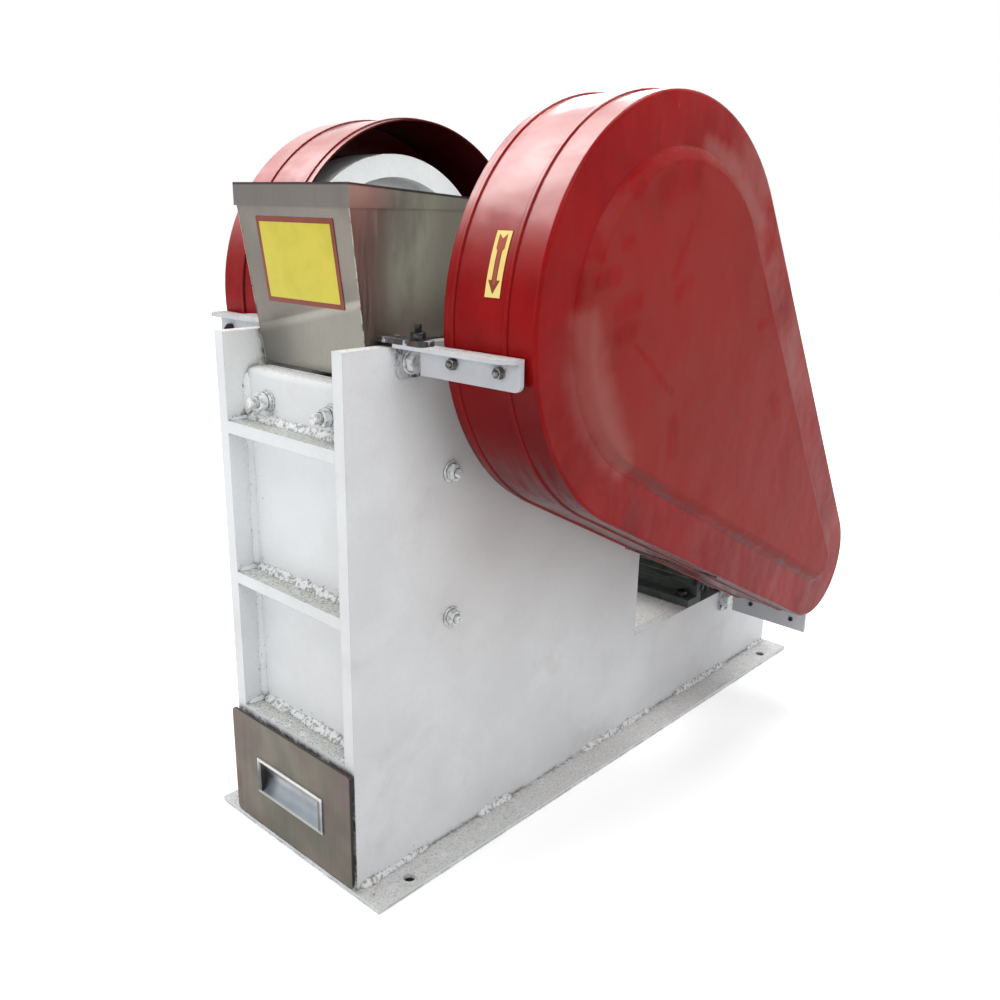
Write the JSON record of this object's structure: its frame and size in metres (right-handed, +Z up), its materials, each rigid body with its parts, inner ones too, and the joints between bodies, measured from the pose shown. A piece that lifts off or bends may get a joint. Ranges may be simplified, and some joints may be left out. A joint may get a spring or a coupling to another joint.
{
  "type": "jaw crusher",
  "caption": "Small belt-driven jaw crusher with a welded plate frame, feed hopper, toothed jaws on an eccentric shaft, flywheel and belt guards, motor and a collecting drawer.",
  "frame": {"origin": "middle of the four anchor holes, on the floor", "axes": "+X towards the belt guard, +Y from the drawer end to the motor end, +Z up"},
  "size_m": [0.538, 0.935, 0.8529],
  "materials": {
    "white_paint": "brushed-on enamel, satin",
    "red_paint": "sprayed gloss enamel",
    "grey_paint": "cast surface, satin enamel",
    "cast_steel": "rough cast",
    "bright_steel": "turned",
    "dark_steel": "mill scale, oily",
    "stainless_sheet": "rolled sheet, satin",
    "pull_metal": "satin",
    "belt_rubber": "matte"
  },
  "bodies": {
    "frame": {"base_plate": "white_paint", "right_side_plate": "white_paint", "left_side_plate": "white_paint", "front_wall": "white_paint", "front_ribs": "white_paint", "rear_wall": "white_paint", "motor_plate": "white_paint", "end_plate": "white_paint", "bearing_pads": "white_paint", "toggle_block": "white_paint", "right_front_bracket": "white_paint", "left_front_bracket": "white_paint", "right_low_bracket": "white_paint", "left_low_bracket": "white_paint", "drawer_runners": "white_paint", "right_bearing_block": "grey_paint", "left_bearing_block": "grey_paint", "motor_frame": "grey_paint", "motor_shield": "grey_paint", "fan_cowl": "grey_paint", "cooling_fan": "grey_paint", "terminal_box": "grey_paint", "fixed_jaw_plate": "cast_steel", "swing_jaw_plate": "cast_steel", "swing_jaw": "cast_steel", "right_cheek_plate": "cast_steel", "left_cheek_plate": "cast_steel", "toggle_plate": "cast_steel", "motor_pulley": "cast_steel", "tension_rod": "bright_steel", "tension_spring": "bright_steel", "hopper_lugs": "dark_steel", "bracket_cleats": "dark_steel", "hopper": "stainless_sheet", "belt_guard": "red_paint", "flywheel_guard": "red_paint", "drive_belts": "belt_rubber"},
    "rotor": {"eccentric_shaft": "bright_steel", "flywheel": "white_paint", "driven_pulley": "white_paint"},
    "drawer": {"drawer_front": "stainless_sheet", "drawer_tray": "stainless_sheet", "drawer_pull": "pull_metal"}
  },
  "joints": [
    {"name": "flywheel_spin", "type": "hinge", "parent": "frame", "child": "rotor", "pos_m": [0, -0.152, 0.627], "axis": [1, 0, 0], "continuous": true},
    {"name": "drawer_slide", "type": "slide", "parent": "frame", "child": "drawer", "axis": [0, -1, 0], "range_m": [0, 0.25]}
  ]
}
